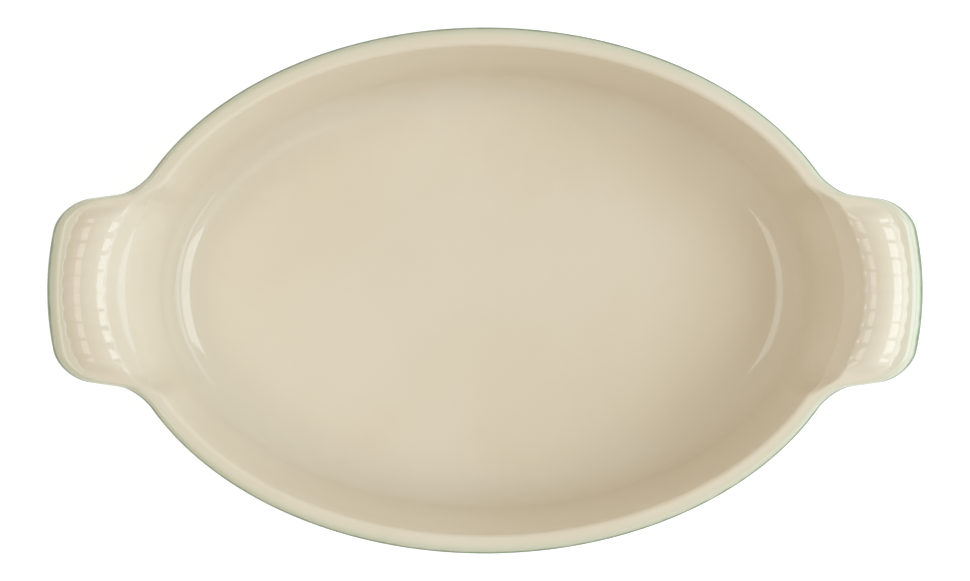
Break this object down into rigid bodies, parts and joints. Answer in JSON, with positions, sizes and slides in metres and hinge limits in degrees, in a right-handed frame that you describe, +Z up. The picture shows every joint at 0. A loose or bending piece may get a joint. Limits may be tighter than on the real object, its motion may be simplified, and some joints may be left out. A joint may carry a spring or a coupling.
{
  "type": "oval baking dish",
  "caption": "Oval stoneware baking dish with a broad fluted lug at each end, cream glaze inside and green glaze outside, for baking and serving.",
  "frame": {"origin": "middle of the dish on the plane that the foot ring stands on", "axes": "+X along the dish to the right lug, +Y across it, +Z up"},
  "size_m": [0.36, 0.216, 0.0679],
  "materials": {
    "stoneware": "bare fired stoneware, matt, only seen on the foot ring",
    "cream_glaze": "smooth glossy cream glaze",
    "green_glaze": "smooth glossy sage green glaze"
  },
  "bodies": {
    "root": {"basin": "stoneware", "left_lug": "stoneware", "right_lug": "stoneware", "inner_glaze": "cream_glaze", "outer_glaze": "green_glaze", "base_glaze": "green_glaze"}
  },
  "joints": []
}
